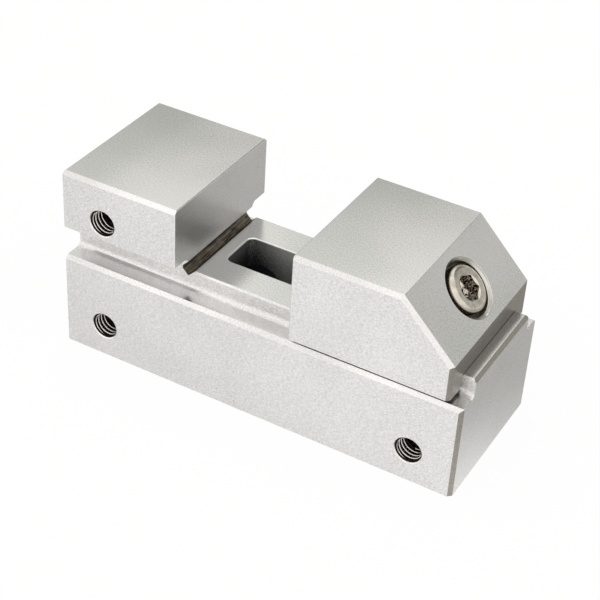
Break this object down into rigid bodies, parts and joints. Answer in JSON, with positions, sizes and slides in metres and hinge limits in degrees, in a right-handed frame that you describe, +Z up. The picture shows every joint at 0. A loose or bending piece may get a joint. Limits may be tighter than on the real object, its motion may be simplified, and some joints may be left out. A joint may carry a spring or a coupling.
{
  "type": "precision vise",
  "caption": "Small ground-steel toolmaker's vise: fixed jaw on a notched base, sliding jaw drawn in and down by a slanted socket screw",
  "frame": {"origin": "middle of the underside", "axes": "+X along the rail away from the fixed jaw, +Y to the back, +Z up"},
  "size_m": [0.0914, 0.035, 0.0425],
  "materials": {
    "ground_steel": "hardened steel, surface ground on all faces",
    "screw_steel": "bright stainless steel, cold headed",
    "turned_steel": "hardened steel, turned"
  },
  "bodies": {
    "base": {"vise_body": "ground_steel"},
    "movable_jaw": {"movable_jaw": "ground_steel", "spherical_washer": "turned_steel"},
    "clamp_screw": {"clamp_screw": "screw_steel"},
    "cross_nut": {"cross_nut": "turned_steel"}
  },
  "joints": [
    {"name": "jaw_slide", "type": "slide", "parent": "base", "child": "movable_jaw", "axis": [1, 0, 0], "range_m": [-0.0265, 0]},
    {"name": "screw_turn", "type": "hinge", "parent": "movable_jaw", "child": "clamp_screw", "pos_m": [0.03715, 0, 0.03677], "axis": [-0.7071, 0, -0.7071], "range_deg": [0, 1944]},
    {"name": "nut_pull", "type": "slide", "parent": "movable_jaw", "child": "cross_nut", "axis": [0.7071, 0, 0.7071], "range_m": [0, 0.0054]}
  ],
  "couplings": [
    {"joint": "nut_pull", "follows": "screw_turn", "m_per_rad": 0.00015915}
  ]
}
